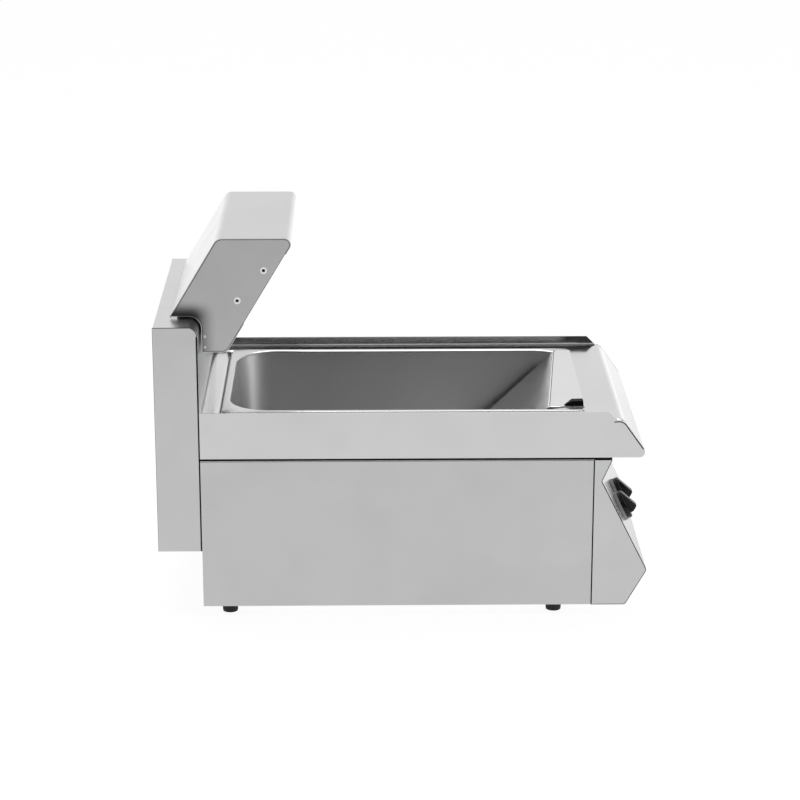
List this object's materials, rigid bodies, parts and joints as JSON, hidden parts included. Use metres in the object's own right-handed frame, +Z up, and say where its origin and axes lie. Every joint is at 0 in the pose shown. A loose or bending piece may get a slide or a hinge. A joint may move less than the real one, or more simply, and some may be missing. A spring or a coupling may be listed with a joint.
{
  "type": "chip warmer",
  "caption": "Countertop chip warmer: steel cabinet with a lift-out pan and chip tray in a heated well, sloped control panel with knobs, and a leaning infrared hood on a riser.",
  "frame": {"origin": "bottom centre of the whole appliance, on the plane the feet stand on", "axes": "+Z up, -Y the front where the knobs are, -X the left as seen by a person at the front; +Y the riser at the back"},
  "size_m": [0.4, 0.7148, 0.56],
  "materials": {
    "brushed_panel": "fine brushed stainless sheet, soft sheen",
    "polished_steel": "bright drawn stainless sheet, semi-mirror",
    "inner_steel": "plain galvanised or stainless inner sheet",
    "dark_steel": "darker fasteners and element sheath",
    "grey_metal": "satin grey ring",
    "black_plastic": "black moulded plastic, slight gloss",
    "black_matte": "black moulded plastic, matt",
    "black_rubber": "black rubber",
    "white_ceramic": "white glazed ceramic",
    "mineral_wool": "pressed mineral wool slab",
    "quartz": "quartz lamp tube"
  },
  "bodies": {
    "cabinet": {"left_side_panel": "brushed_panel", "right_side_panel": "brushed_panel", "base_plate": "inner_steel", "back_panel": "brushed_panel", "control_bulkhead": "inner_steel", "worktop": "polished_steel", "deck_rails": "inner_steel", "well_box": "inner_steel", "base_heater": "dark_steel", "heater_supports": "inner_steel", "insulation_slab": "mineral_wool", "heat_shield": "inner_steel", "front_panel": "polished_steel", "left_end_cap": "brushed_panel", "right_end_cap": "brushed_panel", "knob_bezels": "grey_metal", "thermostat": "dark_steel", "rotary_switch": "black_matte", "panel_screws": "dark_steel", "feet": "black_rubber", "foot_screws": "dark_steel", "riser_cover": "polished_steel", "riser_left_end": "brushed_panel", "riser_right_end": "brushed_panel", "riser_back_panel": "brushed_panel", "riser_screws": "dark_steel", "riser_bolts": "dark_steel", "hood_shell": "polished_steel", "hood_left_cheek": "brushed_panel", "hood_right_cheek": "brushed_panel", "hood_lower_panel": "polished_steel", "hood_back_panel": "inner_steel", "hood_spacers": "dark_steel", "hood_bolts": "dark_steel", "hood_screws": "dark_steel", "neck_rivets": "dark_steel", "reflector": "polished_steel", "heat_lamps": "quartz", "lamp_sockets": "white_ceramic", "guard_grille": "dark_steel", "cable_gland": "black_matte", "terminal_block": "white_ceramic", "cable_grommets": "black_rubber", "hood_cable": "black_matte", "control_cable": "black_matte"},
    "thermostat_dial": {"thermostat_shaft": "dark_steel", "thermostat_knob": "black_plastic"},
    "switch_dial": {"switch_shaft": "dark_steel", "switch_knob": "black_plastic"},
    "pan": {"gastro_pan": "polished_steel"},
    "tray": {"chip_tray": "polished_steel", "tray_grip": "black_plastic"}
  },
  "joints": [
    {"name": "thermostat_turn", "type": "hinge", "parent": "cabinet", "child": "thermostat_dial", "pos_m": [-0.114, -0.32453, 0.13726], "axis": [0, -0.8942, 0.4478], "range_deg": [0, 270]},
    {"name": "switch_turn", "type": "hinge", "parent": "cabinet", "child": "switch_dial", "pos_m": [-0.053, -0.32453, 0.13726], "axis": [0, -0.8942, 0.4478], "range_deg": [0, 90]},
    {"name": "pan_lift", "type": "slide", "parent": "cabinet", "child": "pan", "axis": [0, 0, 1], "range_m": [0, 0.08]},
    {"name": "tray_lift", "type": "slide", "parent": "pan", "child": "tray", "axis": [0, 0, 1], "range_m": [0, 0.08]}
  ]
}
